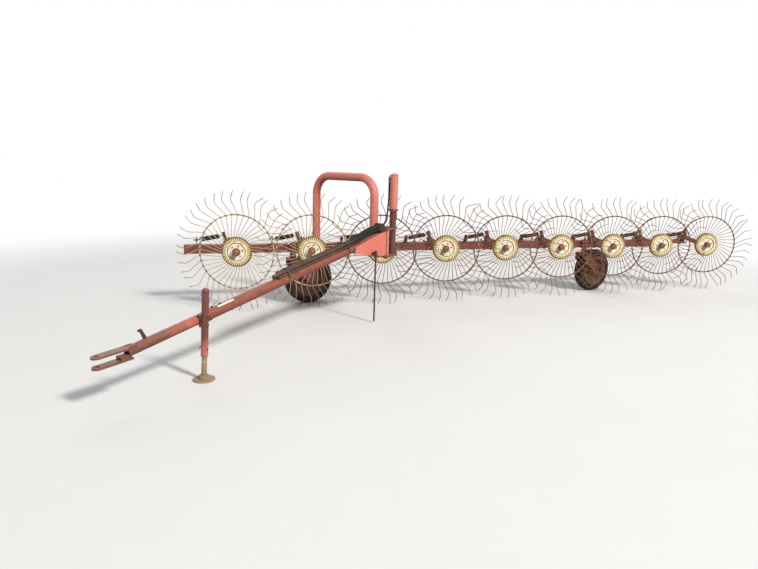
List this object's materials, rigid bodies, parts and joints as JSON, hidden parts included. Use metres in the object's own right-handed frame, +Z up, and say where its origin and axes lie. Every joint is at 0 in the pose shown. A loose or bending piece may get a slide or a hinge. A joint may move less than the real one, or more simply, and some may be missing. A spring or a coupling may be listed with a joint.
{
  "type": "towed finger-wheel hay rake",
  "caption": "Towed hay rake: a slanting toolbar carries a row of ground-driven tined wheels, with a hoop, mast, castors, swinging drawbar and parking jack.",
  "frame": {"origin": "centre of the hitch pin's hole, midway between the clevis bars", "axes": "+X along the toolbar from the leading rake wheel to the last, +Y to the rear of the row, +Z up"},
  "size_m": [8.631, 3.0643, 1.605],
  "materials": {
    "red_paint": "faded dark red paint with rust",
    "salmon_paint": "sun-bleached red paint",
    "bare_rust": "rusty spring steel",
    "cream_paint": "cream paint worn to rust",
    "dark_steel": "dark oxidised steel",
    "tyre_rubber": "dusty weathered rubber",
    "hose_rubber": "weathered black hose"
  },
  "bodies": {
    "frame": {"toolbar": "red_paint", "bar_extension": "red_paint", "crank_sleeves": "dark_steel", "float_cranks": "red_paint", "spring_posts": "dark_steel", "float_springs": "dark_steel", "hoop": "salmon_paint", "hoop_saddle": "red_paint", "mast": "salmon_paint", "mast_collar": "red_paint", "mast_rib": "salmon_paint", "mast_hose": "hose_rubber", "hinge_bracket": "red_paint", "hinge_pin": "dark_steel", "castor_sleeves": "red_paint"},
    "tongue": {"hinge_sleeve": "salmon_paint", "gusset_plates": "salmon_paint", "tongue_rear": "red_paint", "tongue_front": "salmon_paint", "hitch_clevis": "red_paint", "clevis_block": "red_paint", "tow_hook": "dark_steel", "jack_bracket": "dark_steel", "jack_tube": "red_paint", "hose_bundle": "hose_rubber", "hose_guide": "dark_steel", "hose_straps": "hose_rubber", "prop_bracket": "dark_steel"},
    "prop": {"prop_rod": "dark_steel"},
    "jack": {"jack_leg": "dark_steel", "jack_foot": "dark_steel"},
    "front_castor": {"front_fork": "salmon_paint"},
    "rear_castor": {"rear_fork": "salmon_paint"},
    "front_wheel": {"front_tyre": "tyre_rubber", "front_rim": "salmon_paint"},
    "rear_wheel": {"rear_tyre": "tyre_rubber", "rear_rim": "salmon_paint"},
    "rake_wheel_1": {"rake_tines_1": "bare_rust", "rake_hub_1": "cream_paint"},
    "rake_wheel_2": {"rake_tines_2": "bare_rust", "rake_hub_2": "cream_paint"},
    "rake_wheel_3": {"rake_tines_3": "bare_rust", "rake_hub_3": "cream_paint"},
    "rake_wheel_4": {"rake_tines_4": "bare_rust", "rake_hub_4": "cream_paint"},
    "rake_wheel_5": {"rake_tines_5": "bare_rust", "rake_hub_5": "cream_paint"},
    "rake_wheel_6": {"rake_tines_6": "bare_rust", "rake_hub_6": "cream_paint"},
    "rake_wheel_7": {"rake_tines_7": "bare_rust", "rake_hub_7": "cream_paint"},
    "rake_wheel_8": {"rake_tines_8": "bare_rust", "rake_hub_8": "cream_paint"},
    "rake_wheel_9": {"rake_tines_9": "bare_rust", "rake_hub_9": "cream_paint"}
  },
  "joints": [
    {"name": "tongue_swing", "type": "hinge", "parent": "frame", "child": "tongue", "pos_m": [2.705, 2.07, 0.445], "axis": [0, 0, 1], "range_deg": [-20, 25]},
    {"name": "jack_slide", "type": "slide", "parent": "tongue", "child": "jack", "axis": [0.0424, -0.0554, 0.9976], "range_m": [-0.12, 0.14]},
    {"name": "prop_slide", "type": "slide", "parent": "tongue", "child": "prop", "axis": [0, 0, 1], "range_m": [0, 0.3]},
    {"name": "front_swivel", "type": "hinge", "parent": "frame", "child": "front_castor", "pos_m": [1.79, 2.84, 0.245], "axis": [0, 0, 1], "range_deg": [-8, 70]},
    {"name": "rear_swivel", "type": "hinge", "parent": "frame", "child": "rear_castor", "pos_m": [6.005, 2.84, 0.245], "axis": [0, 0, 1], "range_deg": [-8, 70]},
    {"name": "front_wheel_spin", "type": "hinge", "parent": "front_castor", "child": "front_wheel", "pos_m": [1.98632, 2.87816, -0.055], "axis": [0.1908, -0.9816, 0], "continuous": true},
    {"name": "rear_wheel_spin", "type": "hinge", "parent": "rear_castor", "child": "rear_wheel", "pos_m": [6.20132, 2.87816, -0.055], "axis": [0.1908, -0.9816, 0], "continuous": true},
    {"name": "rake_spin_1", "type": "hinge", "parent": "frame", "child": "rake_wheel_1", "pos_m": [1.105, 2.53, 0.337], "axis": [-0.3223, -0.9466, 0], "continuous": true},
    {"name": "rake_spin_2", "type": "hinge", "parent": "frame", "child": "rake_wheel_2", "pos_m": [1.96, 2.53, 0.337], "axis": [-0.3223, -0.9466, 0], "continuous": true},
    {"name": "rake_spin_3", "type": "hinge", "parent": "frame", "child": "rake_wheel_3", "pos_m": [2.815, 2.53, 0.337], "axis": [-0.3223, -0.9466, 0], "continuous": true},
    {"name": "rake_spin_4", "type": "hinge", "parent": "frame", "child": "rake_wheel_4", "pos_m": [3.67, 2.53, 0.337], "axis": [-0.3223, -0.9466, 0], "continuous": true},
    {"name": "rake_spin_5", "type": "hinge", "parent": "frame", "child": "rake_wheel_5", "pos_m": [4.525, 2.53, 0.337], "axis": [-0.3223, -0.9466, 0], "continuous": true},
    {"name": "rake_spin_6", "type": "hinge", "parent": "frame", "child": "rake_wheel_6", "pos_m": [5.38, 2.53, 0.337], "axis": [-0.3223, -0.9466, 0], "continuous": true},
    {"name": "rake_spin_7", "type": "hinge", "parent": "frame", "child": "rake_wheel_7", "pos_m": [6.235, 2.53, 0.337], "axis": [-0.3223, -0.9466, 0], "continuous": true},
    {"name": "rake_spin_8", "type": "hinge", "parent": "frame", "child": "rake_wheel_8", "pos_m": [7.09, 2.53, 0.337], "axis": [-0.3223, -0.9466, 0], "continuous": true},
    {"name": "rake_spin_9", "type": "hinge", "parent": "frame", "child": "rake_wheel_9", "pos_m": [7.945, 2.53, 0.337], "axis": [-0.3223, -0.9466, 0], "continuous": true}
  ]
}
